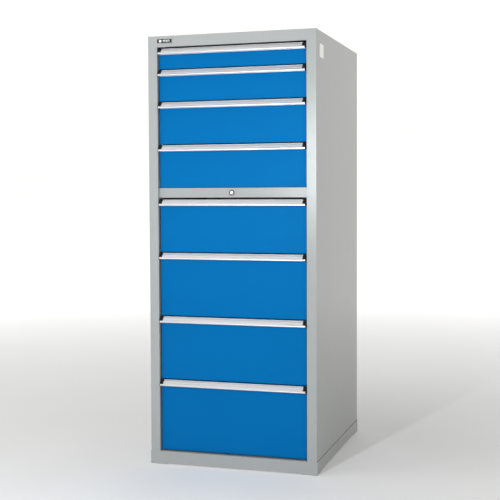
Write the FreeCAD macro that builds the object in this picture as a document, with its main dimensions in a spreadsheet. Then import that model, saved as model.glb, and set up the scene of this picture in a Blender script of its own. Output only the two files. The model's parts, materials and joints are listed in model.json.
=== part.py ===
"""Tall sheet-steel drawer cabinet: eight drawers on full-extension slides, one central lock.

Frame: +Z up, +Y towards the back, +X to the viewer's right.  The origin lies on the floor, under
the centre of the cabinet's overall box.  Most pieces are drawn with y = 0 at the housing's front
plane and moved back into place by their Placement.  Lengths are in millimetres.
"""

import FreeCAD
import Part
import Sketcher
import os

# ---------------------------------------------------------------- driving dimensions

DIMENSIONS = [
    ("width", 600, "housing, side to side"),
    ("depth", 700, "housing, front plane to back"),
    ("height", 1500, "floor to top"),
    ("sheet", 1.5, "housing sheet thickness"),
    ("stile_width", 33.6, "front face of each side panel"),
    ("stile_return", 25, "fold behind each stile, beside the drawers"),
    ("rear_fold", 20, "inward fold at the back of each side panel"),
    ("top_rail", 38, "front flange of the lid"),
    ("rail_return", 12, "fold under the lid's front flange"),
    ("lid_rear_fold", 38, "fold at the back of the lid, down to the side panels' rear folds"),
    ("plinth_height", 45.5, "floor to the top of the plinth"),
    ("plinth_sheet", 2, "plinth sheet thickness"),
    ("plinth_proud", 2, "plinth beyond the housing at the sides and the back"),
    ("plinth_flange", 25, "inward folds of the plinth"),
    ("pad_height", 4, "foot pads under the plinth"),
    ("pad_side", 58, "side of a square foot pad"),
    ("back_sheet", 1.2, "back panel thickness"),
    ("back_edge", 3, "back panel short of the housing at each side"),
    ("fixing_radius", 4.5, "wall fixing holes in the back panel"),
    ("fixing_spacing", 400, "between the wall fixing holes"),
    ("fixing_drop", 60, "wall fixing holes below the top"),
    ("unit_pitch", 37.25, "one height unit of a drawer front"),
    ("bar_pitch", 40.4, "height taken by the lock bar"),
    ("top_gap", 4.1, "first handle below the lid's front flange"),
    ("front_gap", 3.5, "drawer front above the next handle"),
    ("bar_gap", 1.5, "drawer front above the lock bar"),
    ("bottom_gap", 5.5, "last drawer front above the plinth"),
    ("front_recess", 12, "drawer fronts behind the housing's front plane"),
    ("front_width", 525, "drawer front panel"),
    ("front_depth", 14, "folded depth of a drawer front"),
    ("front_sheet", 1.5, "drawer front sheet thickness"),
    ("handle_length", 525, "handle extrusion"),
    ("handle_depth", 20, "handle, out from the drawer front"),
    ("handle_height", 21.5, "handle, top to bottom"),
    ("handle_wall", 2.2, "handle back flange thickness"),
    ("handle_ledge", 3, "flat top of the handle, out from the drawer front"),
    ("handle_shell", 2.3, "drop from the label channel to the hollow under it"),
    ("channel_edge", 1.8, "upper edge of the label channel, along each axis"),
    ("label_step", 0.8, "label channel below its edges, along each axis"),
    ("lip_depth", 4.4, "label channel's end to the front of the lip"),
    ("lip_slope", 2, "sloped part of the lip's front"),
    ("lip_thick", 3.2, "lip, front to back"),
    ("lip_bevel", 1.5, "bevel under the lip's front edge"),
    ("cap_plate", 1.2, "end cap side plate thickness"),
    ("cap_foot", 10, "end cap foot along the handle"),
    ("cap_lap", 0.6, "end cap side plate beyond the handle's outline"),
    ("cap_cover", 0.8, "end cap foot above the label channel's edges"),
    ("cap_over_edge", 1.2, "end cap foot beyond the channel's upper edge"),
    ("cap_over_lip", 1.4, "end cap foot beyond the channel's end, on the lip"),
    ("box_half", 250, "drawer box, centre to outer side"),
    ("box_sheet", 1.2, "drawer box sheet thickness"),
    ("box_depth", 620, "drawer box, front to back"),
    ("box_lift", 3, "drawer box above the bottom of its front"),
    ("box_drop", 13, "drawer front height less the box height"),
    ("hem_height", 8, "folded hem round the top of the drawer box"),
    ("hem_thick", 3, "hem thickness"),
    ("slit_width", 3, "divider slots in the walls of the drawer box"),
    ("slit_pitch", 31, "between divider slots"),
    ("slit_floor", 12, "divider slots above the drawer box floor"),
    ("slit_head", 14, "divider slots below the top of the drawer box"),
    ("slit_margin", 40, "first divider slot from a corner of the drawer box"),
    ("slide_start", 40, "front end of the slides behind the housing's front plane"),
    ("slide_length", 600, "length of each slide member"),
    ("slide_axis", 21, "slide centre line above the drawer box floor"),
    ("slide_sheet", 1.5, "slide member thickness"),
    ("fixed_half", 20, "half height of the fixed member"),
    ("fixed_inner", 252.5, "fixed member, centre to inner edge"),
    ("middle_half", 17.5, "half height of the middle member"),
    ("middle_inner", 254, "middle member, centre to inner edge"),
    ("middle_web", 258.8, "middle member, centre to web"),
    ("middle_outer", 263.5, "middle member, centre to outer edge"),
    ("runner_half", 14.5, "half height of the drawer's own slide member"),
    ("runner_outer", 258, "drawer's slide member, centre to outer edge"),
    ("upright_half", 266, "slide uprights, centre to inner face"),
    ("upright_width", 40, "slide uprights, front to back"),
    ("upright_front", 44, "front uprights behind the housing's front plane"),
    ("upright_rear", 50, "rear uprights in front of the back"),
    ("slot_width", 12, "hook slots in the uprights"),
    ("slot_height", 9, "hook slots in the uprights"),
    ("bar_height", 33.7, "lock bar face"),
    ("bar_sheet", 1.2, "lock bar sheet thickness"),
    ("bar_depth", 30, "lock bar, front to back"),
    ("rim_radius", 9.8, "lock rim"),
    ("rim_proud", 2, "lock rim out from the lock bar"),
    ("barrel_radius", 8.5, "lock barrel"),
    ("barrel_length", 19, "lock barrel behind the lock bar's face"),
    ("plug_radius", 6, "lock plug"),
    ("plug_gap", 0.2, "running clearance round the lock plug"),
    ("plug_proud", 2.6, "lock plug out from the lock bar"),
    ("key_width", 1.8, "key slot"),
    ("key_height", 7.5, "key slot"),
    ("key_depth", 8, "key slot"),
    ("cam_throw", 8, "cam pin from the lock's axis"),
    ("cam_thick", 2.5, "cam plate thickness"),
    ("cam_hub", 6.5, "cam plate round the lock's axis"),
    ("cam_rim", 2, "cam plate round the pin"),
    ("cam_gap", 0.6, "cam plate behind the lock barrel"),
    ("pin_radius", 2.2, "cam pin and lock bar pin"),
    ("pin_length", 5, "cam pin"),
    ("slot_gap", 0.55, "play of a pin in its slot"),
    ("slot_nose", 0.4, "flat at the ends of the sloping slot, as a share of its half width"),
    ("link_front", 36, "lock link behind the housing's front plane"),
    ("link_thick", 3, "lock link thickness"),
    ("link_edge", 5, "lock link beyond its upright slot"),
    ("link_head", 6, "lock link beyond the middle of its sloping slot"),
    ("link_low", 0.5, "lower edge of the link above the lock's axis"),
    ("link_high", 14, "upper edge of the link above the lock's axis"),
    ("link_drop", 8.5, "bottom of the link's head below the lock's axis"),
    ("link_pin", 9, "locking bar's pin above the lock's axis"),
    ("lock_travel", 12, "drop of the locking bar"),
    ("strip_front", 30, "locking bar behind the housing's front plane"),
    ("strip_thick", 4, "locking bar thickness"),
    ("strip_inner", 269, "locking bar, centre to inner edge"),
    ("strip_outer", 283, "locking bar, centre to outer edge"),
    ("strip_foot", 70, "bottom of the locking bar above the floor"),
    ("strip_head", 30, "top of the locking bar below the top"),
    ("guide_low", 200, "lowest guide of the locking bar above the floor"),
    ("guide_middle", 680, "middle guide of the locking bar above the floor"),
    ("guide_high", 1240, "highest guide of the locking bar above the floor"),
    ("guide_height", 16, "guide of the locking bar, bottom to top"),
    ("guide_play", 0.3, "locking bar in its guide, at each side"),
    ("lug_lift", 48, "locking lug above the drawer box floor"),
    ("lug_height", 5, "locking lug"),
    ("lug_reach", 6, "locking lug out from the drawer box"),
    ("lug_start", 35.5, "locking lug behind the housing's front plane"),
    ("lug_depth", 7, "locking lug, front to back"),
    ("tooth_gap", 2, "open tooth above the lug"),
    ("tooth_height", 12, "locking bar tooth"),
    ("tooth_inner", 254, "locking bar tooth, centre to tip"),
    ("badge_left", 266, "badge, centre to left edge"),
    ("badge_width", 55.4, "badge"),
    ("badge_height", 16.5, "badge"),
    ("badge_thick", 1.2, "badge"),
    ("badge_drop", 9.5, "badge below the top"),
    ("label_front", 50.7, "side label behind the front plane"),
    ("label_width", 57, "side label"),
    ("label_height", 46, "side label"),
    ("label_drop", 43, "side label below the top"),
    ("label_thick", 0.4, "side label"),
]

# Height units of the drawer fronts from the top down.  The lock bar lies under the fourth, and
# the last front takes what is left above the plinth.
UNITS_ABOVE_BAR = (2, 3, 4, 4)
UNITS_BELOW_BAR = (5, 6, 6)

# Expressions that several pieces share.
HALF_WIDTH = "Dims.width / 2"
HANDLE_PROUD = "(Dims.handle_depth + Dims.cap_lap - Dims.front_recess)"
FRONT_Y = f"-(Dims.depth + Dims.plinth_proud - {HANDLE_PROUD}) / 2"
BACK_Y = "Dims.depth"
INNER_SIDE = "(Dims.width / 2 - Dims.sheet)"
OPENING_HALF = "(Dims.width / 2 - Dims.stile_width)"
LID_UNDERSIDE = "(Dims.height - Dims.sheet)"
RAIL_FOOT = "(Dims.height - Dims.top_rail)"
PLINTH_TOP = "Dims.plinth_height"
FLOOR_TOP = "(Dims.plinth_height + Dims.sheet)"
BOX_FRONT = "(Dims.front_recess + Dims.front_depth)"
FIRST_HANDLE = "Dims.height - Dims.top_rail - Dims.top_gap"
BAR_TOP = f"({FIRST_HANDLE} - {sum(UNITS_ABOVE_BAR)} * Dims.unit_pitch)"
LOCK_HEIGHT = f"({BAR_TOP} - Dims.bar_height / 2)"
CAM_START = "(Dims.front_recess + Dims.barrel_length + Dims.cam_gap)"
CAM_REACH = "(Dims.cam_throw * sin(45))"
LINK_STEP = f"(2 * {CAM_REACH})"
BAR_CENTRE = "((Dims.strip_inner + Dims.strip_outer) / 2)"
ZERO = "0 * Dims.width"

doc = FreeCAD.newDocument("drawer_cabinet")
sheet = doc.addObject("Spreadsheet::Sheet", "Dims")
nodes = []


def fill_sheet():
    """Write each driving dimension with its alias and a note beside it."""
    for row, (alias, number, note) in enumerate(DIMENSIONS, start=1):
        sheet.set(f"A{row}", str(number))
        sheet.setAlias(f"A{row}", alias)
        sheet.set(f"B{row}", note)
    doc.recompute()


# ---------------------------------------------------------------- drawing helpers

def number_of(expression):
    """The value of an expression, to start a sketch near its solved shape."""
    return float(sheet.evalExpression(expression))


def new_body(name, y=FRONT_Y, z=ZERO):
    """An empty body labelled with the node's name, moved back and up by two expressions."""
    body = doc.addObject("PartDesign::Body", name)
    body.Label = name
    body.setExpression("Placement.Base.y", y)
    body.setExpression("Placement.Base.z", z)
    return body


def origin_plane(body, role):
    """One of the body's own origin planes."""
    return next(item for item in body.Origin.OriginFeatures if item.Role == role)


def new_sketch(body, name, role, offset):
    """An empty sketch on an origin plane, shifted along that plane's normal by an expression."""
    sketch = body.newObject("Sketcher::SketchObject", name)
    sketch.AttachmentSupport = [(origin_plane(body, role), "")]
    sketch.MapMode = "FlatFace"
    sketch.setExpression("AttachmentOffset.Base.z", offset)
    return sketch


def pin_point(sketch, curve, end, point):
    """Hold a point of a curve at x and y distances from the origin, both expressions."""
    for kind, expression in zip(("DistanceX", "DistanceY"), point):
        rule = Sketcher.Constraint(kind, -1, 1, curve, end, number_of(expression))
        sketch.setExpression(f"Constraints[{sketch.addConstraint(rule)}]", expression)


def draw_loop(sketch, points):
    """A closed outline of straight lines through the points."""
    first = sketch.GeometryCount
    corners = [FreeCAD.Vector(number_of(x), number_of(y), 0) for x, y in points]
    for start, end in zip(corners, corners[1:] + corners[:1]):
        sketch.addGeometry(Part.LineSegment(start, end))
    for step in range(len(points)):
        after = first + (step + 1) % len(points)
        sketch.addConstraint(Sketcher.Constraint("Coincident", first + step, 2, after, 1))
    for step, point in enumerate(points):
        pin_point(sketch, first + step, 1, point)


def draw_circle(sketch, x, y, radius):
    """A circle whose centre and radius are expressions."""
    centre = FreeCAD.Vector(number_of(x), number_of(y), 0)
    circle = sketch.addGeometry(Part.Circle(centre, FreeCAD.Vector(0, 0, 1), number_of(radius)))
    rule = Sketcher.Constraint("Radius", circle, number_of(radius))
    sketch.setExpression(f"Constraints[{sketch.addConstraint(rule)}]", radius)
    pin_point(sketch, circle, 3, (x, y))


def rectangle(left, right, low, high):
    """The four corners of a rectangle between expressions."""
    return [(left, low), (right, low), (right, high), (left, high)]


def mirrored(points):
    """The same outline on the other side of x = 0."""
    return [(f"-({x})", y) for x, y in points]


def loops_sketch(body, name, role, loops, offset=ZERO):
    """A sketch of closed straight-sided outlines."""
    sketch = new_sketch(body, name, role, offset)
    for points in loops:
        draw_loop(sketch, points)
    return sketch


def circles_sketch(body, name, role, circles, offset=ZERO):
    """A sketch of circles, each given as x, y and radius."""
    sketch = new_sketch(body, name, role, offset)
    for x, y, radius in circles:
        draw_circle(sketch, x, y, radius)
    return sketch


def pad(body, sketch, length, backwards=False, both_ways=False):
    """Raise a sketch into solid by a length expression."""
    feature = body.newObject("PartDesign::Pad", f"{sketch.Name}_pad")
    feature.Profile = sketch
    feature.setExpression("Length", length)
    feature.Reversed = backwards
    feature.Midplane = both_ways
    sketch.Visibility = False
    doc.recompute()
    return feature


def pocket(body, sketch, length, backwards=False, both_ways=False):
    """Cut a sketch into the body, and stop if it cuts nothing."""
    before = body.Shape.Volume
    feature = body.newObject("PartDesign::Pocket", f"{sketch.Name}_cut")
    feature.Profile = sketch
    feature.setExpression("Length", length)
    feature.Reversed = backwards
    feature.Midplane = both_ways
    doc.recompute()
    if body.Shape.Volume > before - 1e-3:
        raise RuntimeError(f"{feature.Name} cuts nothing")
    return feature


def row_of(body, feature, role, length, count):
    """Repeat a feature along a sketch axis or origin axis, evenly over a length expression."""
    axis = next(item for item in body.Origin.OriginFeatures if item.Role == role)
    pattern = body.newObject("PartDesign::LinearPattern", f"{feature.Name}_row")
    pattern.Originals = [feature]
    pattern.Direction = (axis, [""])
    pattern.setExpression("Length", length)
    pattern.Occurrences = count
    body.Tip = pattern
    doc.recompute()
    return pattern


def mirror_copy(source, name):
    """A copy of a piece on the other side of the cabinet's middle plane."""
    copy = doc.addObject("Part::Mirroring", name)
    copy.Label = name
    copy.Source = source
    copy.Normal = FreeCAD.Vector(1, 0, 0)
    return copy


def group(name, members):
    """Several separate solids that make one node."""
    compound = doc.addObject("Part::Compound", name)
    compound.Label = name
    compound.Links = members
    return compound


def keep(piece):
    """Count a piece among those that are written out."""
    nodes.append(piece)
    return piece


# ---------------------------------------------------------------- drawer heights

def drawer_spans():
    """Top of the handle and bottom of the front of each drawer, as height expressions."""
    tops = []
    level = FIRST_HANDLE
    for units in UNITS_ABOVE_BAR:
        tops.append(level)
        level = f"{level} - {units} * Dims.unit_pitch"
    feet = [f"{top} + Dims.front_gap" for top in tops[1:]]
    feet.append(f"{level} + Dims.bar_gap")
    level = f"{level} - Dims.bar_pitch"
    lower_tops = [level]
    for units in UNITS_BELOW_BAR:
        level = f"{level} - {units} * Dims.unit_pitch"
        lower_tops.append(level)
    feet += [f"{top} + Dims.front_gap" for top in lower_tops[1:]]
    feet.append("Dims.plinth_height + Dims.bottom_gap")
    return list(zip(tops + lower_tops, feet))


# ---------------------------------------------------------------- housing

def side_panels():
    """Folded side panels: stile and return at the front, a small fold at the back."""
    body = new_body("right_side_panel", z=PLINTH_TOP)
    stile_inner = f"{OPENING_HALF} + Dims.sheet"
    folds = [
        (OPENING_HALF, ZERO),
        (HALF_WIDTH, ZERO),
        (HALF_WIDTH, BACK_Y),
        (f"{HALF_WIDTH} - Dims.rear_fold", BACK_Y),
        (f"{HALF_WIDTH} - Dims.rear_fold", f"{BACK_Y} - Dims.sheet"),
        (INNER_SIDE, f"{BACK_Y} - Dims.sheet"),
        (INNER_SIDE, "Dims.sheet"),
        (stile_inner, "Dims.sheet"),
        (stile_inner, "Dims.stile_return"),
        (OPENING_HALF, "Dims.stile_return"),
    ]
    pad(body, loops_sketch(body, "side_folds", "XY_Plane", [folds]), f"{RAIL_FOOT} - {PLINTH_TOP}")
    upper = rectangle(INNER_SIDE, HALF_WIDTH, "Dims.sheet", f"{BACK_Y} - Dims.sheet")
    rise = f"{RAIL_FOOT} - {PLINTH_TOP}"
    sketch = loops_sketch(body, "side_head", "XY_Plane", [upper], rise)
    pad(body, sketch, "Dims.top_rail - Dims.sheet")
    keep(body)
    keep(mirror_copy(body, "left_side_panel"))


def top_panel():
    """Lid with the top rail folded down in front, a return under the rail and a fold at the back."""
    body = new_body("top_panel")
    section = [
        (ZERO, RAIL_FOOT),
        ("Dims.sheet", RAIL_FOOT),
        ("Dims.sheet", LID_UNDERSIDE),
        (f"{BACK_Y} - Dims.sheet", LID_UNDERSIDE),
        (f"{BACK_Y} - Dims.sheet", "Dims.height - Dims.lid_rear_fold"),
        (BACK_Y, "Dims.height - Dims.lid_rear_fold"),
        (BACK_Y, "Dims.height"),
        (ZERO, "Dims.height"),
    ]
    pad(body, loops_sketch(body, "lid_section", "YZ_Plane", [section]), "Dims.width", both_ways=True)
    under = rectangle("Dims.sheet", "Dims.rail_return", RAIL_FOOT, f"{RAIL_FOOT} + Dims.sheet")
    sketch = loops_sketch(body, "rail_fold", "YZ_Plane", [under])
    pad(body, sketch, f"2 * {INNER_SIDE}", both_ways=True)
    keep(body)


def back_panel():
    """Plain back sheet inside the side panels' rear folds, with two holes for a wall fixing."""
    body = new_body("back_panel")
    edge = f"{HALF_WIDTH} - Dims.back_edge"
    face = rectangle(f"-({edge})", edge, FLOOR_TOP, "Dims.height - Dims.lid_rear_fold / 2")
    rear = f"-({BACK_Y} - Dims.sheet)"
    pad(body, loops_sketch(body, "back_face", "XZ_Plane", [face], rear), "Dims.back_sheet")
    level = "Dims.height - Dims.fixing_drop"
    holes = [(f"{side} * Dims.fixing_spacing / 2", level, "Dims.fixing_radius") for side in (-1, 1)]
    sketch = circles_sketch(body, "wall_fixings", "XZ_Plane", holes, rear)
    pocket(body, sketch, "4 * Dims.back_sheet", both_ways=True)
    keep(body)


def bottom_panel():
    """Flat floor of the housing, on top of the plinth."""
    body = new_body("bottom_panel", z=PLINTH_TOP)
    back = f"{BACK_Y} - Dims.sheet - Dims.back_sheet"
    full = rectangle(f"-({INNER_SIDE})", INNER_SIDE, "Dims.stile_return", back)
    mouth = rectangle(f"-({OPENING_HALF})", OPENING_HALF, "Dims.sheet", "Dims.stile_return")
    pad(body, loops_sketch(body, "floor_sheet", "XY_Plane", [full]), "Dims.sheet")
    pad(body, loops_sketch(body, "floor_mouth", "XY_Plane", [mouth]), "Dims.sheet")
    keep(body)


def plinth_outline(inset):
    """The plinth's plan, moved inwards by an inset expression."""
    side = f"{HALF_WIDTH} + Dims.plinth_proud - ({inset})"
    back = f"{BACK_Y} + Dims.plinth_proud - ({inset})"
    return rectangle(f"-({side})", side, inset, back)


def base_plinth():
    """Open frame of folded channel under the housing."""
    body = new_body("base_plinth", z="Dims.pad_height")
    tall = "Dims.plinth_height - Dims.pad_height"
    outer = plinth_outline(ZERO)
    wall = [outer, plinth_outline("Dims.plinth_sheet")]
    fold = [outer, plinth_outline("Dims.plinth_flange")]
    pad(body, loops_sketch(body, "plinth_wall", "XY_Plane", wall), tall)
    pad(body, loops_sketch(body, "plinth_foot_fold", "XY_Plane", fold), "Dims.plinth_sheet")
    head = f"{tall} - Dims.plinth_sheet"
    pad(body, loops_sketch(body, "plinth_head_fold", "XY_Plane", fold, head), "Dims.plinth_sheet")
    keep(body)


def foot_pads():
    """Four flat square pads under the corners of the plinth."""
    side = f"{HALF_WIDTH} + Dims.plinth_proud"
    rear = f"{FRONT_Y} + {BACK_Y} + Dims.plinth_proud - Dims.pad_side"
    members = []
    for end, y in (("front", FRONT_Y), ("rear", rear)):
        for hand, x in (("left", f"-({side})"), ("right", f"{side} - Dims.pad_side")):
            block = doc.addObject("Part::Box", f"{end}_{hand}_pad")
            block.setExpression("Length", "Dims.pad_side")
            block.setExpression("Width", "Dims.pad_side")
            block.setExpression("Height", "Dims.pad_height")
            block.setExpression("Placement.Base.x", x)
            block.setExpression("Placement.Base.y", y)
            members.append(block)
    keep(group("foot_pads", members))


def upright(name, start):
    """Channel upright on the right side with a row of hook slots in its inner face."""
    body = new_body(name, z=FLOOR_TOP)
    end = f"{start} + Dims.upright_width"
    face = "Dims.upright_half + Dims.sheet"
    channel = [
        ("Dims.upright_half", start),
        (INNER_SIDE, start),
        (INNER_SIDE, f"{start} + Dims.sheet"),
        (face, f"{start} + Dims.sheet"),
        (face, f"{end} - Dims.sheet"),
        (INNER_SIDE, f"{end} - Dims.sheet"),
        (INNER_SIDE, end),
        ("Dims.upright_half", end),
    ]
    tall = f"{LID_UNDERSIDE} - {FLOOR_TOP}"
    pad(body, loops_sketch(body, f"{name}_section", "XY_Plane", [channel]), tall)
    middle = f"{start} + Dims.upright_width / 2"
    first = "Dims.unit_pitch / 2"
    slot = rectangle(f"{middle} - Dims.slot_width / 2", f"{middle} + Dims.slot_width / 2",
                     first, f"{first} + Dims.slot_height")
    sketch = loops_sketch(body, f"{name}_slot", "YZ_Plane", [slot], "Dims.upright_half")
    cut = pocket(body, sketch, "2 * Dims.sheet", backwards=True)
    count = int(number_of(f"({tall}) / Dims.unit_pitch"))
    row_of(body, cut, "Z_Axis", f"{count - 1} * Dims.unit_pitch", count)
    return body


def uprights():
    """Front and rear uprights on both sides, which carry the slides."""
    front = upright("front_upright", "Dims.upright_front")
    rear_start = f"{BACK_Y} - Dims.upright_rear - Dims.upright_width"
    rear = upright("rear_upright", f"({rear_start})")
    right = keep(group("right_uprights", [front, rear]))
    keep(mirror_copy(right, "left_uprights"))


def name_badge():
    """Small plain badge on the left end of the top rail."""
    badge = doc.addObject("Part::Box", "name_badge")
    badge.Label = "name_badge"
    badge.setExpression("Length", "Dims.badge_width")
    badge.setExpression("Width", "Dims.badge_thick")
    badge.setExpression("Height", "Dims.badge_height")
    badge.setExpression("Placement.Base.x", "-Dims.badge_left")
    badge.setExpression("Placement.Base.y", f"{FRONT_Y} - Dims.badge_thick")
    badge.setExpression("Placement.Base.z", "Dims.height - Dims.badge_drop - Dims.badge_height")
    keep(badge)


def side_label():
    """Blank label on the right side near the top."""
    label = doc.addObject("Part::Box", "side_label")
    label.Label = "side_label"
    label.setExpression("Length", "Dims.label_thick")
    label.setExpression("Width", "Dims.label_width")
    label.setExpression("Height", "Dims.label_height")
    label.setExpression("Placement.Base.x", HALF_WIDTH)
    label.setExpression("Placement.Base.y", f"{FRONT_Y} + Dims.label_front")
    label.setExpression("Placement.Base.z", "Dims.height - Dims.label_drop - Dims.label_height")
    keep(label)


# ---------------------------------------------------------------- slides

def channel_outline(inner, outer, half, opens_inwards):
    """A C section between two x expressions, about the slide's centre line."""
    web = "Dims.slide_sheet"
    if opens_inwards:
        mouth, back, turn = inner, outer, f"{outer} - {web}"
    else:
        mouth, back, turn = outer, inner, f"{inner} + {web}"
    low = f"Dims.slide_axis - {half}"
    high = f"Dims.slide_axis + {half}"
    return [(mouth, low), (back, low), (back, high), (mouth, high),
            (mouth, f"{high} - {web}"), (turn, f"{high} - {web}"),
            (turn, f"{low} + {web}"), (mouth, f"{low} + {web}")]


def beam_outline():
    """The I section of the middle member."""
    web = "Dims.slide_sheet"
    low = "Dims.slide_axis - Dims.middle_half"
    high = "Dims.slide_axis + Dims.middle_half"
    near, far = "Dims.middle_web", f"Dims.middle_web + {web}"
    inner, outer = "Dims.middle_inner", "Dims.middle_outer"
    return [(inner, low), (outer, low), (outer, f"{low} + {web}"), (far, f"{low} + {web}"),
            (far, f"{high} - {web}"), (outer, f"{high} - {web}"), (outer, high), (inner, high),
            (inner, f"{high} - {web}"), (near, f"{high} - {web}"),
            (near, f"{low} + {web}"), (inner, f"{low} + {web}")]


def slide_member(name, outline, base):
    """A straight slide member of a given section on the right side."""
    body = new_body(name, z=base)
    sketch = loops_sketch(body, f"{name}_section", "XZ_Plane", [outline], "-Dims.slide_start")
    pad(body, sketch, "Dims.slide_length", backwards=True)
    return body


def cabinet_slides(bases):
    """The fixed member of every slide, hooked to the uprights."""
    section = channel_outline("Dims.fixed_inner", "Dims.upright_half", "Dims.fixed_half", True)
    members = [slide_member(f"fixed_member_{step}", section, base)
               for step, base in enumerate(bases, start=1)]
    right = keep(group("right_fixed_slides", members))
    keep(mirror_copy(right, "left_fixed_slides"))


# ---------------------------------------------------------------- drawers

def drawer_box(name, base, tall):
    """Folded tray with a hem, a slide member on each side and a locking lug on the right."""
    body = new_body(f"{name}_box", z=base)
    half, wall = "Dims.box_half", "Dims.box_sheet"
    rear = f"({BOX_FRONT} + Dims.box_depth)"

    def inset(gap):
        return rectangle(f"-{half} + {gap}", f"{half} - {gap}", f"{BOX_FRONT} + {gap}", f"{rear} - {gap}")

    outer = inset(ZERO)
    pad(body, loops_sketch(body, f"{name}_walls", "XY_Plane", [outer, inset(wall)]), tall)
    pad(body, loops_sketch(body, f"{name}_floor", "XY_Plane", [outer]), wall)
    hem = loops_sketch(body, f"{name}_hem", "XY_Plane", [outer, inset("Dims.hem_thick")],
                       f"{tall} - Dims.hem_height")
    pad(body, hem, "Dims.hem_height")
    divider_slots(body, name, tall)
    runner = channel_outline(half, "Dims.runner_outer", "Dims.runner_half", False)
    runners = loops_sketch(body, f"{name}_runners", "XZ_Plane", [runner, mirrored(runner)],
                           "-Dims.slide_start")
    pad(body, runners, "Dims.slide_length", backwards=True)
    lug = rectangle(half, f"{half} + Dims.lug_reach", "Dims.lug_start", "Dims.lug_start + Dims.lug_depth")
    pad(body, loops_sketch(body, f"{name}_lug", "XY_Plane", [lug], "Dims.lug_lift"), "Dims.lug_height")
    return body


def divider_slots(body, name, tall):
    """Upright slots for dividers, cut through opposite walls of the drawer box at once."""
    low, high = "Dims.slit_floor", f"{tall} - Dims.slit_head"
    runs = (
        ("side", "YZ_Plane", "Y_Axis", BOX_FRONT, "Dims.box_depth", "2 * Dims.box_half", ZERO),
        ("end", "XZ_Plane", "X_Axis", "-Dims.box_half", "2 * Dims.box_half", "Dims.box_depth",
         f"-({BOX_FRONT} + Dims.box_depth / 2)"),
    )
    for run, plane, axis, start, length, across, offset in runs:
        first = f"{start} + Dims.slit_margin"
        slit = rectangle(first, f"{first} + Dims.slit_width", low, high)
        sketch = loops_sketch(body, f"{name}_{run}_slit", plane, [slit], offset)
        cut = pocket(body, sketch, f"{across} + Dims.slit_width", both_ways=True)
        count = 1 + int(number_of(f"({length} - 2 * Dims.slit_margin) / Dims.slit_pitch"))
        row_of(body, cut, axis, f"{count - 1} * Dims.slit_pitch", count)


def drawer_front(name, foot, top):
    """Folded front panel: a shallow pan, open towards the box."""
    body = new_body(f"{name}_front", z=foot)
    tall = f"{top} - ({foot})"
    half = "Dims.front_width / 2"
    face = rectangle(f"-{half}", half, ZERO, tall)
    plane = "-Dims.front_recess"
    pad(body, loops_sketch(body, f"{name}_face", "XZ_Plane", [face], plane), "Dims.front_depth",
        backwards=True)
    wall = "Dims.front_sheet"
    hollow = rectangle(f"-{half} + {wall}", f"{half} - {wall}", wall, f"{tall} - {wall}")
    sketch = loops_sketch(body, f"{name}_hollow", "XZ_Plane", [hollow], f"-({BOX_FRONT})")
    pocket(body, sketch, f"Dims.front_depth - {wall}", backwards=True)
    return body


def placed_section(points):
    """Section points, out from the drawer front and down from the handle's top, in sketch axes."""
    return [(f"Dims.front_recess - ({out})", f"-({down})") for out, down in points]


def handle_outline():
    """Handle section: back flange, sloping label channel, and the lip that fingers pull."""
    wall, deep, tall = "Dims.handle_wall", "Dims.handle_depth", "Dims.handle_height"
    ledge, edge, step = "Dims.handle_ledge", "Dims.channel_edge", "Dims.label_step"
    channel_end = f"({deep} - Dims.lip_depth)"
    slope_end = f"({deep} - Dims.lip_slope)"
    lip_back = f"({deep} - Dims.lip_thick)"
    hollow = f"({ledge} - 2 * {step} - Dims.handle_shell)"
    return placed_section([
        (ZERO, ZERO),
        (ledge, ZERO),
        (f"{ledge} + {edge}", edge),
        (f"{ledge} + {edge} - {step}", f"{edge} + {step}"),
        (f"{channel_end} - {step}", f"{channel_end} - {ledge} + {step}"),
        (channel_end, f"{channel_end} - {ledge}"),
        (slope_end, f"{slope_end} - {ledge}"),
        (deep, f"{deep} - {ledge}"),
        (deep, f"{tall} - Dims.lip_bevel"),
        (f"{deep} - Dims.lip_bevel", tall),
        (lip_back, tall),
        (lip_back, f"{lip_back} - {hollow}"),
        (wall, f"{wall} - {hollow}"),
        (wall, tall),
        (ZERO, tall),
    ])


def drawer_handle(name, top):
    """Aluminium handle extrusion across the top of the front."""
    body = new_body(f"{name}_handle", z=top)
    sketch = loops_sketch(body, f"{name}_handle_section", "YZ_Plane", [handle_outline()])
    pad(body, sketch, "Dims.handle_length", both_ways=True)
    return body


def cap_plate_outline():
    """Side plate of an end cap: the handle's section filled in, and a little larger."""
    deep, tall, lap = "Dims.handle_depth", "Dims.handle_height", "Dims.cap_lap"
    ledge, bevel = "Dims.handle_ledge", "Dims.lip_bevel"
    return placed_section([
        (ZERO, f"-{lap}"),
        (f"{ledge} + {lap}", f"-{lap}"),
        (f"{deep} + {lap}", f"{deep} - {ledge} - {lap}"),
        (f"{deep} + {lap}", f"{tall} - {bevel} + {lap}"),
        (f"{deep} - {bevel} + {lap}", f"{tall} + {lap}"),
        (ZERO, f"{tall} + {lap}"),
    ])


def cap_foot_outline():
    """Foot of an end cap: it fills the label channel and laps over both of its edges."""
    deep, ledge, cover = "Dims.handle_depth", "Dims.handle_ledge", "Dims.cap_cover"
    edge, step = "Dims.channel_edge", "Dims.label_step"
    channel_end = f"({deep} - Dims.lip_depth)"
    upper_lap = f"({ledge} + {edge} - Dims.cap_over_edge)"
    lower_lap = f"({channel_end} + Dims.cap_over_lip)"
    return placed_section([
        (f"{ledge} + {edge} - {step}", f"{edge} + {step}"),
        (f"{ledge} + {edge}", edge),
        (upper_lap, f"{upper_lap} - {ledge}"),
        (f"{upper_lap} + {cover}", f"{upper_lap} - {ledge} - {cover}"),
        (f"{lower_lap} + {cover}", f"{lower_lap} - {ledge} - {cover}"),
        (lower_lap, f"{lower_lap} - {ledge}"),
        (channel_end, f"{channel_end} - {ledge}"),
        (f"{channel_end} - {step}", f"{channel_end} - {ledge} + {step}"),
    ])


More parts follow.
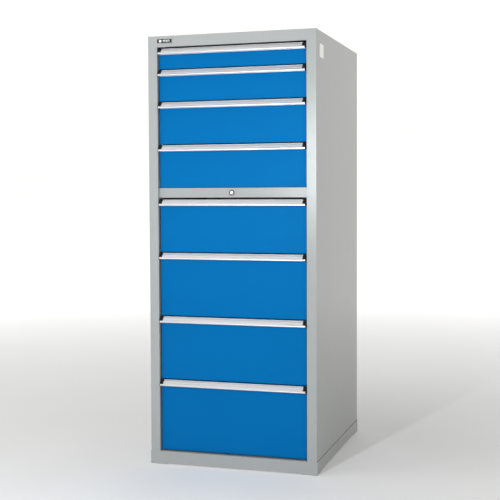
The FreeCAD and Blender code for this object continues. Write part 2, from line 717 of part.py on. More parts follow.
def end_caps(name, top):
    """Plastic end caps: a plate over each end of the handle and a foot in the label channel."""
    body = new_body(f"{name}_right_cap", z=top)
    plate, foot = cap_plate_outline(), cap_foot_outline()
    end = "Dims.handle_length / 2"
    pad(body, loops_sketch(body, f"{name}_cap_plate", "YZ_Plane", [plate], end), "Dims.cap_plate")
    sketch = loops_sketch(body, f"{name}_cap_foot", "YZ_Plane", [foot], f"{end} - Dims.cap_foot")
    pad(body, sketch, "Dims.cap_foot")
    return group(f"{name}_end_caps", [body, mirror_copy(body, f"{name}_left_cap")])


def drawer(number, top, foot):
    """One drawer: box, front, handle, end caps and the middle members of its slides."""
    name = f"drawer_{number}"
    base = f"{foot} + Dims.box_lift"
    keep(drawer_box(name, base, f"({top} - ({foot}) - Dims.box_drop)"))
    keep(drawer_front(name, foot, top))
    keep(drawer_handle(name, top))
    keep(end_caps(name, top))
    middle = slide_member(f"{name}_right_slide", beam_outline(), base)
    keep(group(f"{name}_middle_slides", [middle, mirror_copy(middle, f"{name}_left_slide")]))


# ---------------------------------------------------------------- lock

def lock_cross_bar():
    """Fixed channel across the opening that carries the lock."""
    body = new_body("lock_cross_bar", z=LOCK_HEIGHT)
    half, wall = "Dims.bar_height / 2", "Dims.bar_sheet"
    front, back = "Dims.front_recess", "(Dims.front_recess + Dims.bar_depth)"
    section = [
        (front, f"-{half}"), (back, f"-{half}"), (back, f"-{half} + {wall}"),
        (f"{front} + {wall}", f"-{half} + {wall}"), (f"{front} + {wall}", f"{half} - {wall}"),
        (back, f"{half} - {wall}"), (back, half), (front, half),
    ]
    sketch = loops_sketch(body, "bar_section", "YZ_Plane", [section])
    pad(body, sketch, f"2 * {OPENING_HALF}", both_ways=True)
    hole = circles_sketch(body, "bar_hole", "XZ_Plane", [(ZERO, ZERO, "Dims.barrel_radius")],
                          "-Dims.front_recess")
    pocket(body, hole, "4 * Dims.bar_sheet", both_ways=True)
    keep(body)


def disc(body, name, radius, start, length, bore=None):
    """A round step about the lock's axis, from a depth behind the housing's front plane."""
    circles = [(ZERO, ZERO, radius)]
    if bore:
        circles.append((ZERO, ZERO, bore))
    sketch = circles_sketch(body, name, "XZ_Plane", circles, f"-({start})")
    pad(body, sketch, length, backwards=True)


def lock_housing():
    """Rim and barrel of the lock."""
    body = new_body("lock_housing", z=LOCK_HEIGHT)
    bore = "Dims.plug_radius + Dims.plug_gap"
    disc(body, "lock_rim", "Dims.rim_radius", "Dims.front_recess - Dims.rim_proud", "Dims.rim_proud", bore)
    disc(body, "lock_barrel", "Dims.barrel_radius", "Dims.front_recess", "Dims.barrel_length", bore)
    keep(body)


def lock_plug():
    """Turning plug with the key slot."""
    body = new_body("lock_plug", z=LOCK_HEIGHT)
    front = "Dims.front_recess - Dims.plug_proud"
    disc(body, "plug_round", "Dims.plug_radius", front, f"{CAM_START} - ({front})")
    slot = rectangle("-Dims.key_width / 2", "Dims.key_width / 2",
                     "-Dims.key_height / 2", "Dims.key_height / 2")
    sketch = loops_sketch(body, "key_slot", "XZ_Plane", [slot], f"-({front})")
    pocket(body, sketch, "Dims.key_depth")
    keep(body)


def lock_cam():
    """Cam plate behind the plug, with the pin that moves the link; it rests up and to the left."""
    body = new_body("lock_cam", z=LOCK_HEIGHT)
    disc(body, "cam_hub", "Dims.cam_hub", CAM_START, "Dims.cam_thick")
    spot = (f"-{CAM_REACH}", CAM_REACH)
    tip = circles_sketch(body, "cam_tip", "XZ_Plane", [(*spot, "Dims.pin_radius + Dims.cam_rim")],
                         f"-({CAM_START})")
    pad(body, tip, "Dims.cam_thick", backwards=True)
    pin = circles_sketch(body, "cam_pin", "XZ_Plane", [(*spot, "Dims.pin_radius")],
                         f"-({CAM_START} + Dims.cam_thick)")
    pad(body, pin, "Dims.pin_length", backwards=True)
    keep(body)


def ramp_outline(play):
    """Sloping slot round the locking bar's pin, from its open place to its locked one."""
    left, low = f"({BAR_CENTRE} - {LINK_STEP})", "(Dims.link_pin - Dims.lock_travel)"
    right, high = BAR_CENTRE, "Dims.link_pin"
    nose = f"Dims.slot_nose * {play}"
    return [
        (f"{left} - {play}", f"{low} + {nose}"),
        (f"{left} - {play}", f"{low} - {nose}"),
        (f"{left} - {nose}", f"{low} - {play}"),
        (f"{left} + {nose}", f"{low} - {play}"),
        (f"{right} + {play}", f"{high} - {nose}"),
        (f"{right} + {play}", f"{high} + {nose}"),
        (f"{right} + {nose}", f"{high} + {play}"),
        (f"{right} - {nose}", f"{high} + {play}"),
    ]


def lock_link():
    """Sliding link: an upright slot for the cam pin and a sloping slot for the locking bar's pin."""
    body = new_body("lock_link", z=LOCK_HEIGHT)
    play = "(Dims.pin_radius + Dims.slot_gap)"
    start = f"-{CAM_REACH} - {play} - Dims.link_edge"
    head = f"{BAR_CENTRE} - {LINK_STEP} - Dims.link_head"
    end = f"{BAR_CENTRE} + Dims.link_head"
    outline = [(start, "Dims.link_low"), (head, "Dims.link_low"), (head, "-Dims.link_drop"),
               (end, "-Dims.link_drop"), (end, "Dims.link_high"), (start, "Dims.link_high")]
    sketch = loops_sketch(body, "link_plate", "XZ_Plane", [outline], "-Dims.link_front")
    pad(body, sketch, "Dims.link_thick", backwards=True)
    window = rectangle(f"-{CAM_REACH} - {play}", f"-{CAM_REACH} + {play}",
                       f"{CAM_REACH} - {play}", f"Dims.cam_throw + {play}")
    slots = loops_sketch(body, "link_slots", "XZ_Plane", [window, ramp_outline(play)], "-Dims.link_front")
    pocket(body, slots, "Dims.link_thick")
    keep(body)


def locking_bar(bases):
    """Upright strip with a tooth above each drawer's lug and the pin that rides in the link."""
    body = new_body("locking_bar")
    strip = rectangle("Dims.strip_inner", "Dims.strip_outer", "Dims.strip_foot",
                      "Dims.height - Dims.strip_head")
    plane = "-Dims.strip_front"
    loops = loops_sketch(body, "bar_strip", "XZ_Plane", [strip], plane)
    pad(body, loops, "Dims.strip_thick", backwards=True)
    teeth = []
    for base in bases:
        low = f"{base} + Dims.lug_lift + Dims.lug_height + Dims.tooth_gap"
        teeth.append(rectangle("Dims.tooth_inner", "Dims.strip_inner", low, f"{low} + Dims.tooth_height"))
    pad(body, loops_sketch(body, "bar_teeth", "XZ_Plane", teeth, plane), "Dims.strip_thick",
        backwards=True)
    spot = [(BAR_CENTRE, f"{LOCK_HEIGHT} + Dims.link_pin", "Dims.pin_radius")]
    pin = circles_sketch(body, "bar_pin", "XZ_Plane", spot, "-(Dims.strip_front + Dims.strip_thick)")
    pad(body, pin, "Dims.pin_length", backwards=True)
    keep(body)


def lock_bar_guides():
    """Clips on the front upright that keep the locking bar in line."""
    members = []
    near, far = "Dims.strip_inner - Dims.guide_play", "Dims.strip_outer + Dims.guide_play"
    back = "Dims.upright_front"
    for place in ("low", "middle", "high"):
        body = new_body(f"{place}_guide", z=f"Dims.guide_{place}")
        clip = [
            (f"{near} - Dims.sheet", "Dims.strip_front"),
            (near, "Dims.strip_front"),
            (near, f"{back} - Dims.sheet"),
            (far, f"{back} - Dims.sheet"),
            (far, "Dims.strip_front"),
            (f"{far} + Dims.sheet", "Dims.strip_front"),
            (f"{far} + Dims.sheet", back),
            (f"{near} - Dims.sheet", back),
        ]
        sketch = loops_sketch(body, f"{place}_guide_clip", "XY_Plane", [clip])
        pad(body, sketch, "Dims.guide_height")
        members.append(body)
    keep(group("lock_bar_guides", members))


# ---------------------------------------------------------------- build, check and write

def check_document():
    """Stop if any object failed or any node's shape isn't a valid solid."""
    for item in doc.Objects:
        if {"Invalid", "Error"} & set(item.State):
            raise RuntimeError(f"{item.Name} did not recompute: {item.State}")
    for node in nodes:
        if node.Shape.isNull() or not node.Shape.isValid() or not node.Shape.Solids:
            raise RuntimeError(f"{node.Label} has no valid shape")


def write_parts():
    """Write each node to parts/NODE.step."""
    os.makedirs("parts", exist_ok=True)
    for node in nodes:
        node.Shape.exportStep(f"parts/{node.Label}.step")
        box = node.Shape.BoundBox
        print(f"{node.Label}: {len(node.Shape.Solids)} solids, "
              f"x {box.XMin:.1f}..{box.XMax:.1f}, y {box.YMin:.1f}..{box.YMax:.1f}, "
              f"z {box.ZMin:.1f}..{box.ZMax:.1f}, {node.Shape.Volume / 1000:.1f} cm3")


def main():
    """Build every piece from the sheet."""
    fill_sheet()
    side_panels()
    top_panel()
    back_panel()
    bottom_panel()
    base_plinth()
    foot_pads()
    uprights()
    name_badge()
    side_label()
    spans = drawer_spans()
    bases = [f"{foot} + Dims.box_lift" for top, foot in spans]
    cabinet_slides(bases)
    for number, (top, foot) in enumerate(spans, start=1):
        drawer(number, top, foot)
    lock_cross_bar()
    lock_housing()
    lock_plug()
    lock_cam()
    lock_link()
    locking_bar(bases)
    lock_bar_guides()
    doc.recompute()
    check_document()
    write_parts()


main()
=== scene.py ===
"""Looks of the tall drawer cabinet: finishes, label strips, small trim and a plain studio."""

import json
import math

import bmesh
import bpy
from mathutils import Matrix, Vector


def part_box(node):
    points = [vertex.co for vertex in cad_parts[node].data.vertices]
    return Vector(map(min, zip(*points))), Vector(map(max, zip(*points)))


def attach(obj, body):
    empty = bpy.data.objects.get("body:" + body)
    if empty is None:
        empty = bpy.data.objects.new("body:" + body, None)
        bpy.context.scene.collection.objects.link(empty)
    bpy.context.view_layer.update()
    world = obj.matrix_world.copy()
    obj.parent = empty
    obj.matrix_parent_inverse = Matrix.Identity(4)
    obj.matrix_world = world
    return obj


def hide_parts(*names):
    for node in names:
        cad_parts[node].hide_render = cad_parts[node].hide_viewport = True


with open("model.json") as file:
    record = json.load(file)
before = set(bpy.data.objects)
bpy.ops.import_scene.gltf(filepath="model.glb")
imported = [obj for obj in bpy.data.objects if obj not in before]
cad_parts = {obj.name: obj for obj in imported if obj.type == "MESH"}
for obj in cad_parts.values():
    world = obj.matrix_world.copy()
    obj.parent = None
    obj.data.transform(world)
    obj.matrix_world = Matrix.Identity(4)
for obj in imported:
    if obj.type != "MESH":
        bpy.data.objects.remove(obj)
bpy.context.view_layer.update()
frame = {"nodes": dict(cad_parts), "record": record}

MM = 0.001
DRAWERS = range(1, 9)

# Handle seen from its end: distances out from the drawer front and down from the handle's top.
LEDGE = 3 * MM
CHANNEL_EDGE = 1.8 * MM
CHANNEL_STEP = 0.8 * MM
LIP_DEPTH = 4.4 * MM

# How far each end cap's foot reaches along the channel.
CAP_FOOT = 10 * MM

# Clean-up of the CAD meshes, lengths in metres and angles in degrees.
WELD_REACH = 0.01 * MM
FLAT_ANGLE = 1
SHARP_ANGLE = 35
EDGE_ROUNDING = 0.5 * MM

# Label strip in the handle's channel.
STRIP_BOW = 0.55 * MM
STRIP_THICKNESS = 0.35 * MM
STRIP_LIFT = 0.05 * MM
STRIP_END_GAP = 0.3 * MM
STRIP_EDGE_GAP = 0.1 * MM
STRIP_ARC_STEPS = 8
STRIP_LENGTH_STEPS = 12

# Screws that hold each drawer front, seen from inside the drawer.
SCREW_RADIUS = 5 * MM
SCREW_SIDE = 200 * MM
SCREW_ABOVE_FLOOR = 16 * MM
SCREW_BELOW_RIM = 17 * MM
BOX_SHEET = 1.2 * MM

# Blind rivets round the back panel and through the lid's rear fold.
RIVET_FROM_EDGE = 7 * MM
RIVET_FROM_FOOT = 40 * MM
RIVET_FROM_TOP = 60 * MM
RIVET_BELOW_LID = 29 * MM
RIVET_LID_PITCH = 120 * MM
RIVETS_UP_EACH_SIDE = 8
RIVETS_ACROSS_LID = 5

# Badge border as growth of the outline and rise from the face, in millimetres.
BADGE_CORNER = 2.2
BORDER_PROFILE = ((0, 0), (0, 0.5), (-0.6, 0.8), (-1.1, 0.5), (-1.1, 0))

# Badge marks: place from the near end and above the middle, half sizes and corner radius,
# all in millimetres.
BADGE_DOT = (12, 0, 4.8, 4.8, 4.7)
BADGE_BARS = ((-21, 2.4, 13, 1.2, 1), (-21, -2.4, 13, 0.7, 0.6))
MARK_THICKNESS = 0.2 * MM

# Side label.
LABEL_CORNER = 3 * MM
LABEL_BASE = 0.3 * MM


# ---------------------------------------------------------------- node helpers

class Finish:
    """A node material under construction, with its shader and object coordinates."""

    def __init__(self, name, roughness=0.5, metallic=0.0):
        self.material = bpy.data.materials.new(name)
        self.material.use_nodes = True
        self.tree = self.material.node_tree
        self.shader = self.tree.nodes["Principled BSDF"]
        self.set(self.shader, Roughness=roughness, Metallic=metallic)
        self.coordinates = self.node("ShaderNodeTexCoord").outputs["Object"]

    def node(self, kind, **values):
        """A new node with input values by name (underscores stand for spaces)."""
        made = self.tree.nodes.new(kind)
        self.set(made, **values)
        return made

    @staticmethod
    def set(node, **values):
        for name, value in values.items():
            node.inputs[name.replace("_", " ")].default_value = value

    def link(self, output, node, name):
        self.tree.links.new(output, node.inputs[name])

    def stretched(self, scale):
        """Object coordinates scaled by three factors."""
        mapping = self.node("ShaderNodeMapping")
        mapping.inputs["Scale"].default_value = scale
        self.link(self.coordinates, mapping, "Vector")
        return mapping.outputs["Vector"]

    def noise(self, scale, detail=2.0, roughness=0.5, vector=None):
        """The factor of a noise texture."""
        made = self.node("ShaderNodeTexNoise", Scale=scale, Detail=detail, Roughness=roughness)
        self.link(vector or self.coordinates, made, "Vector")
        return made.outputs["Fac"]

    def ramp(self, factor, low, high, start=0.3, end=0.7):
        """A factor turned into a colour between two."""
        made = self.node("ShaderNodeValToRGB")
        made.color_ramp.elements[0].position = start
        made.color_ramp.elements[1].position = end
        made.color_ramp.elements[0].color = (*low, 1)
        made.color_ramp.elements[1].color = (*high, 1)
        self.link(factor, made, "Fac")
        return made.outputs["Color"]

    def span(self, factor, low, high):
        """A factor moved from about 0.3..0.7 to low..high."""
        made = self.node("ShaderNodeMapRange")
        self.set(made, From_Min=0.3, From_Max=0.7, To_Min=low, To_Max=high)
        self.link(factor, made, "Value")
        return made.outputs["Result"]

    def bump(self, factor, strength, distance, under=None):
        """A bump from a factor, over an earlier normal if there is one."""
        made = self.node("ShaderNodeBump", Strength=strength, Distance=distance)
        self.link(factor, made, "Height")
        if under:
            self.link(under, made, "Normal")
        return made.outputs["Normal"]

    def use(self, name, output):
        self.link(output, self.shader, name)


# ---------------------------------------------------------------- finishes

def powder_coat(name, light, dark, rough, sheen=0.5, tint=(1, 1, 1)):
    """Baked powder coat: fine orange peel, faint clouding and uneven gloss."""
    finish = Finish(name)
    finish.set(finish.shader, Specular_IOR_Level=sheen, Specular_Tint=(*tint, 1))
    clouds = finish.noise(2.2, 3)
    finish.use("Base Color", finish.ramp(clouds, dark, light))
    finish.use("Roughness", finish.span(finish.noise(34, 3), rough - 0.015, rough + 0.015))
    peel = finish.bump(finish.noise(620, 2), 0.035, 0.3 * MM)
    finish.use("Normal", finish.bump(finish.noise(5.5, 2), 0.008, 3 * MM, under=peel))
    return finish.material


def anodised(name, light, dark, rough):
    """Extruded aluminium, satin anodised, with fine drawing lines along X."""
    finish = Finish(name, metallic=1.0)
    lines = finish.noise(1, 3, vector=finish.stretched((6, 900, 900)))
    finish.use("Base Color", finish.ramp(lines, dark, light))
    finish.use("Roughness", finish.span(lines, rough - 0.05, rough + 0.06))
    finish.use("Normal", finish.bump(lines, 0.25, 0.1 * MM))
    return finish.material


def plated(name, light, dark, rough):
    """Plated steel with a faint cloudy crystal pattern."""
    finish = Finish(name, metallic=1.0)
    cells = finish.node("ShaderNodeTexVoronoi", Scale=160.0)
    finish.link(finish.coordinates, cells, "Vector")
    finish.use("Base Color", finish.ramp(cells.outputs["Color"], dark, light, 0.1, 0.9))
    finish.use("Roughness", finish.span(finish.noise(60, 3), rough - 0.06, rough + 0.08))
    finish.use("Normal", finish.bump(finish.noise(420, 2), 0.12, 0.1 * MM))
    return finish.material


def moulded(name, light, dark, rough, sheen=0.5):
    """Moulded plastic with a fine spark-eroded grain."""
    finish = Finish(name)
    finish.set(finish.shader, Specular_IOR_Level=sheen)
    finish.use("Base Color", finish.ramp(finish.noise(40, 3), dark, light))
    finish.use("Roughness", finish.span(finish.noise(90, 2), rough - 0.05, rough + 0.08))
    finish.use("Normal", finish.bump(finish.noise(1500, 2), 0.35, 0.1 * MM))
    return finish.material


def covered_paper(name, light, dark):
    """Label paper under a clear cover: faint fibres below a smooth coat."""
    finish = Finish(name, roughness=0.55)
    fibres = finish.noise(300, 4, 0.7)
    finish.use("Base Color", finish.ramp(fibres, dark, light))
    finish.use("Roughness", finish.span(fibres, 0.5, 0.62))
    finish.set(finish.shader, Coat_Weight=1, Coat_Roughness=0.2, Coat_IOR=1.9)
    finish.use("Normal", finish.bump(fibres, 0.08, 0.1 * MM))
    return finish.material


FINISHES = {
    "grey_housing": powder_coat("grey_powder_coat", (0.4, 0.413, 0.41), (0.386, 0.399, 0.396), 0.24,
                                sheen=0.22),
    "grey_drawer": powder_coat("drawer_powder_coat", (0.41, 0.42, 0.42), (0.39, 0.4, 0.4), 0.46),
    "blue_front": powder_coat("blue_powder_coat", (0.001, 0.146, 0.41), (0.001, 0.137, 0.39), 0.45,
                              sheen=0.3, tint=(0.05, 0.45, 1)),
    "handle_aluminium": anodised("anodised_aluminium", (0.69, 0.685, 0.69), (0.64, 0.64, 0.65), 0.42),
    "black_plastic": moulded("black_nylon", (0.008, 0.008, 0.009), (0.004, 0.004, 0.005), 0.55, 0.25),
    "zinc_steel": plated("zinc_plate", (0.66, 0.67, 0.68), (0.5, 0.52, 0.54), 0.34),
    "lock_chrome": plated("nickel_plate", (0.6, 0.6, 0.59), (0.5, 0.5, 0.5), 0.3),
    # Near-black lock rim: black lacquer, and part of its darkness is painted shade for the shadowed
    # gap round the plug.
    "lock_black": moulded("lock_rim_lacquer_and_shade", (0.012, 0.012, 0.013), (0.008, 0.008, 0.009), 0.35, 0.4),
    "badge_black": moulded("badge_black", (0.012, 0.012, 0.012), (0.007, 0.007, 0.007), 0.3, 0.3),
    "label_white": covered_paper("label_paper", (0.86, 0.86, 0.85), (0.8, 0.8, 0.79)),
}
STRIP_PAPER = covered_paper("strip_paper", (0.58, 0.575, 0.59), (0.55, 0.545, 0.56))


# ---------------------------------------------------------------- mesh helpers

def add_object(name, mesh_maker):
    """A linked mesh object whose mesh is filled by a function of a bmesh."""
    build = bmesh.new()
    mesh_maker(build)
    bmesh.ops.remove_doubles(build, verts=build.verts, dist=1e-6)
    bmesh.ops.recalc_face_normals(build, faces=build.faces)
    mesh = bpy.data.meshes.new(name)
    build.to_mesh(mesh)
    build.free()
    obj = bpy.data.objects.new(name, mesh)
    bpy.context.scene.collection.objects.link(obj)
    return obj


def soften(obj):
    """Round the sharp edges a little and keep the shading of flat faces flat."""
    bevel = obj.modifiers.new("edges", "BEVEL")
    bevel.width = EDGE_ROUNDING
    bevel.segments = 2
    bevel.limit_method = "ANGLE"
    bevel.angle_limit = math.radians(SHARP_ANGLE)
    normals = obj.modifiers.new("normals", "WEIGHTED_NORMAL")
    normals.weight = 100
    for face in obj.data.polygons:
        face.use_smooth = True


def mount(obj, body, slot, finish=None):
    """Give a new piece its body, and the slot's finish or one of its own."""
    obj.data.materials.append(finish or FINISHES[slot])
    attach(obj, body)


def skin(build, rings):
    """Join each ring of vertices to the next with a band of four-sided faces."""
    count = len(rings[0])
    for near, far in zip(rings, rings[1:]):
        for step in range(count):
            after = (step + 1) % count
            build.faces.new((near[step], near[after], far[after], far[step]))


def close_ends(build, rings):
    """Put a face on the first ring and on the last."""
    build.faces.new(rings[0])
    build.faces.new(rings[-1])


def prism(build, section, stations, place):
    """Skin a closed section through stations; place(point, station) gives each vertex."""
    rings = [[build.verts.new(place(point, station)) for point in section] for station in stations]
    skin(build, rings)
    close_ends(build, rings)


def circle(angle):
    """Radius of a circle at an angle, as a share of its radius."""
    return 1


def hexagon(angle):
    """Radius of a hexagon at an angle, as a share of its inner radius."""
    sector = math.pi / 3
    return 1 / math.cos(angle % sector - sector / 2)


def lathe(build, profile, centre, axis, steps):
    """Turn a profile of radius, height and shape about an axis through a centre."""
    turn = Vector(axis).to_track_quat("Z", "Y").to_matrix()
    rings = []
    for radius, height, shape in profile:
        verts = []
        for step in range(steps):
            angle = 2 * math.pi * step / steps
            reach = radius * shape(angle)
            point = Vector((reach * math.cos(angle), reach * math.sin(angle), height))
            verts.append(build.verts.new(Vector(centre) + turn @ point))
        rings.append(verts)
    skin(build, rings)
    close_ends(build, rings)


def rounded_rectangle(half_width, half_height, radius, steps=5):
    """Corner arcs of a rounded rectangle about the origin."""
    points = []
    for corner, (sx, sy) in enumerate(((1, 1), (-1, 1), (-1, -1), (1, -1))):
        for step in range(steps + 1):
            angle = math.pi / 2 * (corner + step / steps)
            points.append((sx * (half_width - radius) + radius * math.cos(angle),
                           sy * (half_height - radius) + radius * math.sin(angle)))
    return points


# ---------------------------------------------------------------- pieces

def label_strip(number):
    """Bowed label strip that fills the handle's sloping channel between the end caps."""
    low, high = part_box(f"drawer_{number}_handle")
    depth = high.y - low.y
    start = LEDGE + CHANNEL_EDGE - CHANNEL_STEP + STRIP_EDGE_GAP
    end = depth - LIP_DEPTH - CHANNEL_STEP - STRIP_EDGE_GAP
    slip = LEDGE - 2 * CHANNEL_STEP

    def bowed(lift):
        line = []
        for step in range(STRIP_ARC_STEPS + 1):
            along = step / STRIP_ARC_STEPS
            out = start + (end - start) * along
            rise = (lift + STRIP_BOW * math.sin(math.pi * along)) / math.sqrt(2)
            line.append((out + rise, out - slip - rise))
        return line

    section = bowed(STRIP_LIFT) + bowed(STRIP_LIFT + STRIP_THICKNESS)[::-1]
    half = high.x - CAP_FOOT - STRIP_END_GAP
    stations = [-half + 2 * half * step / STRIP_LENGTH_STEPS for step in range(STRIP_LENGTH_STEPS + 1)]

    def place(point, x):
        out, down = point
        return (x, high.y - out, high.z - down)

    strip = add_object(f"drawer_{number}_label_strip",
                       lambda build: prism(build, section, stations, place))
    mount(strip, f"drawer_{number}", "label_white", STRIP_PAPER)


def button_screw(build, centre, axis, radius):
    """Domed screw head with a hexagon socket."""
    shares = [(1, 0, circle), (1, 0.15, circle), (0.92, 0.38, circle), (0.72, 0.56, circle),
              (0.5, 0.64, circle), (0.38, 0.64, hexagon), (0.38, 0.2, hexagon)]
    profile = [(out * radius, height * radius, shape) for out, height, shape in shares]
    lathe(build, profile, centre, axis, 24)


def rivet_head(build, centre, axis):
    """Domed head of a blind rivet with the hole that its pin leaves."""
    profile = [(3.9 * MM, 0, circle), (3.9 * MM, 0.4 * MM, circle), (3.2 * MM, 1.1 * MM, circle),
               (1.9 * MM, 1.6 * MM, circle), (1.5 * MM, 1.6 * MM, circle),
               (1.3 * MM, 0.9 * MM, circle)]
    lathe(build, profile, centre, axis, 20)


def front_screws(number):
    """Four screws inside the drawer that hold its front panel."""
    low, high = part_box(f"drawer_{number}_box")
    inner_y = low.y + BOX_SHEET
    levels = (low.z + SCREW_ABOVE_FLOOR, high.z - SCREW_BELOW_RIM)

    def build_all(build):
        for x in (-SCREW_SIDE, SCREW_SIDE):
            for z in levels:
                button_screw(build, (x, inner_y, z), (0, 1, 0), SCREW_RADIUS)

    screws = add_object(f"drawer_{number}_front_screws", build_all)
    mount(screws, f"drawer_{number}", "zinc_steel")


def back_rivets():
    """Blind rivets round the edge of the back panel and through the lid's rear fold."""
    low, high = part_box("back_panel")
    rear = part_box("right_side_panel")[1].y
    edge = high.x - RIVET_FROM_EDGE
    foot = low.z + RIVET_FROM_FOOT
    pitch = (high.z - RIVET_FROM_TOP - foot) / (RIVETS_UP_EACH_SIDE - 1)
    levels = [foot + pitch * step for step in range(RIVETS_UP_EACH_SIDE)]
    spots = [(side * edge, z) for side in (-1, 1) for z in levels]
    lid_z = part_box("top_panel")[1].z - RIVET_BELOW_LID
    middle = (RIVETS_ACROSS_LID - 1) / 2
    spots += [(RIVET_LID_PITCH * (step - middle), lid_z) for step in range(RIVETS_ACROSS_LID)]

    def build_all(build):
        for x, z in spots:
            rivet_head(build, (x, rear, z), (0, 1, 0))

    mount(add_object("back_rivets", build_all), "cabinet", "zinc_steel")


def badge_rim():
    """Raised silver border round the black badge."""
    low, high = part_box("name_badge")
    centre_x, centre_z = (low.x + high.x) / 2, (low.z + high.z) / 2
    half_x, half_z = (high.x - low.x) / 2, (high.z - low.z) / 2

    def build_all(build):
        rings = []
        for growth, rise in BORDER_PROFILE:
            outline = rounded_rectangle(half_x + growth * MM, half_z + growth * MM,
                                        (BADGE_CORNER + growth) * MM)
            rings.append([build.verts.new((centre_x + x, low.y - rise * MM, centre_z + z))
                          for x, z in outline])
        skin(build, rings + rings[:1])

    mount(add_object("badge_rim", build_all), "cabinet", "lock_chrome")


def badge_mark(build, x, z, face_y, half_width, half_height, corner):
    """Flat mark with rounded corners on the badge's face; the last three are in millimetres."""
    outline = rounded_rectangle(half_width * MM, half_height * MM, corner * MM)

    def place(point, out):
        return (x + point[0], face_y - out, z + point[1])

    prism(build, outline, [0, MARK_THICKNESS], place)


def badge_print():
    """Plain dot and two bars on the badge, in place of a name."""
    low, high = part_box("name_badge")
    middle_z = (low.z + high.z) / 2

    def build_all(build):
        for end_x, marks in ((low.x, (BADGE_DOT,)), (high.x, BADGE_BARS)):
            for across, rise, *sizes in marks:
                badge_mark(build, end_x + across * MM, middle_z + rise * MM, low.y, *sizes)

    mount(add_object("badge_print", build_all), "cabinet", "label_white")


def side_label_sheet():
    """Blank white label with rounded corners, in place of the plain one."""
    low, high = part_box("side_label")
    centre_y, centre_z = (low.y + high.y) / 2, (low.z + high.z) / 2
    outline = rounded_rectangle((high.y - low.y) / 2, (high.z - low.z) / 2, LABEL_CORNER)
    stations = [low.x, low.x + LABEL_BASE, high.x]

    def place(point, x):
        return (x, centre_y + point[0], centre_z + point[1])

    sheet = add_object("side_label_sheet",
                       lambda build: prism(build, outline, stations, place))
    mount(sheet, "cabinet", "label_white")
    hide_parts("side_label")


def dress_frame():
    """Finishes and softened edges on the CAD nodes."""
    slots = {part["node"]: part["material_slot"] for part in frame["record"]["subparts"]}
    for name, node in frame["nodes"].items():
        node.data.materials.clear()
        node.data.materials.append(FINISHES[slots[name]])
        weld = node.modifiers.new("weld", "WELD")
        weld.merge_threshold = WELD_REACH
        facets = node.modifiers.new("facets", "DECIMATE")
        facets.decimate_type = "DISSOLVE"
        facets.angle_limit = math.radians(FLAT_ANGLE)
        soften(node)


# ---------------------------------------------------------------- studio

CAMERA_PLACE = Vector((1.1115, -3.799, 0.965))
CAMERA_YAW, CAMERA_PITCH, CAMERA_ROLL = 17.63, -2.69, -0.29
CAMERA_LENS, SENSOR = 76.3, 36
CAMERA_SHIFT = (0.03, -0.02)

BACKDROP = (1.05, 1.04, 1.0)
ROOM = (0.2, 0.198, 0.185)
BACKDROP_TOP, ROOM_START = 0.18, 0.36

FLOOR_RADIUS = 30
GLOW_START, GLOW_END = 0.6, 5
GLOW_NEAR, GLOW_FAR = 0.2, 0.82

COOL_LIGHT = (0.9, 0.95, 1)
WHITE_LIGHT = (1, 1, 1)
WARM_LIGHT = (1, 0.99, 0.98)


def make_camera():
    """Camera at a standing person's chest height, a little to the right of the cabinet."""
    camera = bpy.data.objects.new("camera", bpy.data.cameras.new("camera"))
    bpy.context.scene.collection.objects.link(camera)
    camera.data.sensor_width = SENSOR
    camera.data.lens = CAMERA_LENS
    camera.data.shift_x, camera.data.shift_y = CAMERA_SHIFT
    turn = (Matrix.Rotation(math.radians(CAMERA_YAW), 4, "Z")
            @ Matrix.Rotation(math.radians(90 + CAMERA_PITCH), 4, "X")
            @ Matrix.Rotation(math.radians(CAMERA_ROLL), 4, "Z"))
    camera.matrix_world = Matrix.Translation(CAMERA_PLACE) @ turn
    bpy.context.scene.camera = camera


def softbox(name, place, target, width, height, power, colour):
    """Rectangular soft light aimed at a point, out of the camera's sight."""
    lamp = bpy.data.lights.new(name, "AREA")
    lamp.shape = "RECTANGLE"
    lamp.size, lamp.size_y = width, height
    lamp.energy = power
    lamp.color = colour
    obj = bpy.data.objects.new(name, lamp)
    bpy.context.scene.collection.objects.link(obj)
    obj.location = place
    obj.rotation_mode = "QUATERNION"
    obj.rotation_quaternion = (Vector(target) - Vector(place)).to_track_quat("-Z", "Y")
    obj.visible_camera = False


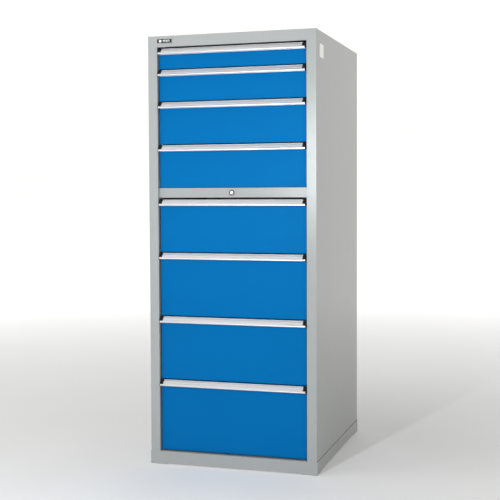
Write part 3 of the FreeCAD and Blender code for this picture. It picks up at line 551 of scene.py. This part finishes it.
def studio_floor():
    """Pale matte floor that brightens into the backdrop far from the cabinet."""
    finish = Finish("floor", roughness=0.75)
    finish.use("Base Color", finish.ramp(finish.noise(3, 4), (0.86, 0.86, 0.865), (0.9, 0.9, 0.9)))
    finish.use("Normal", finish.bump(finish.noise(180, 3), 0.1, 0.3 * MM))
    reach = finish.node("ShaderNodeVectorMath")
    reach.operation = "LENGTH"
    finish.link(finish.coordinates, reach, "Vector")
    glow = finish.node("ShaderNodeMapRange", From_Min=GLOW_START, From_Max=GLOW_END,
                       To_Min=GLOW_NEAR, To_Max=GLOW_FAR)
    finish.link(reach.outputs["Value"], glow, "Value")
    finish.set(finish.shader, Emission_Color=(1, 1, 1, 1))
    finish.use("Emission Strength", glow.outputs["Result"])
    floor = add_object("floor", lambda build: bmesh.ops.create_circle(
        build, cap_ends=True, segments=96, radius=FLOOR_RADIUS))
    floor.data.materials.append(finish.material)


def studio_room():
    """White backdrop all round the cabinet and a dimmer room above it."""
    world = bpy.data.worlds.new("studio")
    bpy.context.scene.world = world
    world.use_nodes = True
    nodes, links = world.node_tree.nodes, world.node_tree.links
    height = nodes.new("ShaderNodeSeparateXYZ")
    fade = nodes.new("ShaderNodeValToRGB")
    fade.color_ramp.elements[0].color = (*BACKDROP, 1)
    fade.color_ramp.elements[0].position = BACKDROP_TOP
    fade.color_ramp.elements[1].color = (*ROOM, 1)
    fade.color_ramp.elements[1].position = ROOM_START
    links.new(nodes.new("ShaderNodeTexCoord").outputs["Generated"], height.inputs[0])
    links.new(height.outputs["Z"], fade.inputs["Fac"])
    links.new(fade.outputs["Color"], nodes["Background"].inputs["Color"])


def make_studio():
    """Floor, surroundings and four soft lights."""
    studio_floor()
    studio_room()
    softbox("left_light", (-1.6, -2.0, 1.15), (0, -0.35, 0.95), 0.8, 1.0, 1.5, COOL_LIGHT)
    softbox("strip_light", (-0.2, -2.6, 1.12), (0.28, -0.35, 1.07), 0.055, 0.55, 25, COOL_LIGHT)
    softbox("back_light", (0, 1.7, 2.9), (0, 0.1, 1.3), 1.2, 0.8, 9, WHITE_LIGHT)
    softbox("overhead_light", (-0.8, -0.96, 2.9), (-0.8, -0.95, 0), 1.6, 1.08, 12, WARM_LIGHT)
    bpy.context.scene.view_settings.view_transform = "Standard"


make_camera()
dress_frame()
for drawer in DRAWERS:
    label_strip(drawer)
    front_screws(drawer)
back_rivets()
badge_rim()
badge_print()
side_label_sheet()
make_studio()
